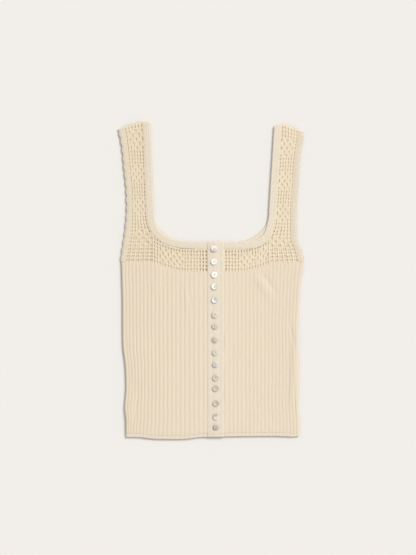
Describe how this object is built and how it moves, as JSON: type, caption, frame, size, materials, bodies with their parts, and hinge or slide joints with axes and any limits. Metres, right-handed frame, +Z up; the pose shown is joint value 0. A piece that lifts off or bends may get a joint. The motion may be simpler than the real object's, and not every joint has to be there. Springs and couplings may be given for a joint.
{
  "type": "knitted tank top",
  "caption": "Ribbed knitted tank top laid flat on its back, with a crochet yoke and wide crochet straps, a square neck and a full row of shell buttons.",
  "frame": {"origin": "middle of the underside of the garment's box, on the surface that it lies on", "axes": "+Z up off the surface, +Y from the hem to the shoulders, +X to the right of someone who looks down on the front"},
  "size_m": [0.3156, 0.54, 0.0088],
  "materials": {
    "rib_knit": "ribbed cotton knit, matt",
    "crochet": "crochet cotton, matt",
    "banding": "close cotton banding, matt",
    "shell": "polished shell"
  },
  "bodies": {
    "root": {"body_front_left": "rib_knit", "body_front_right": "rib_knit", "body_back": "rib_knit", "crochet_yoke_front_left": "crochet", "crochet_yoke_front_right": "crochet", "crochet_yoke_back": "crochet", "crochet_strap_front_left": "crochet", "crochet_strap_front_right": "crochet", "crochet_strap_back_left": "crochet", "crochet_strap_back_right": "crochet", "neck_band_front_left": "banding", "neck_band_front_right": "banding", "neck_band_back": "banding", "armhole_edge_front_left": "banding", "armhole_edge_front_right": "banding", "armhole_edge_back_left": "banding", "armhole_edge_back_right": "banding", "hem_edge_front_left": "banding", "hem_edge_front_right": "banding", "hem_edge_back": "banding", "buttonhole_band": "banding", "button_band": "banding", "button_01": "shell", "button_02": "shell", "button_03": "shell", "button_04": "shell", "button_05": "shell", "button_06": "shell", "button_07": "shell", "button_08": "shell", "button_09": "shell", "button_10": "shell", "button_11": "shell", "button_12": "shell", "button_13": "shell", "button_14": "shell", "button_15": "shell"}
  },
  "joints": []
}
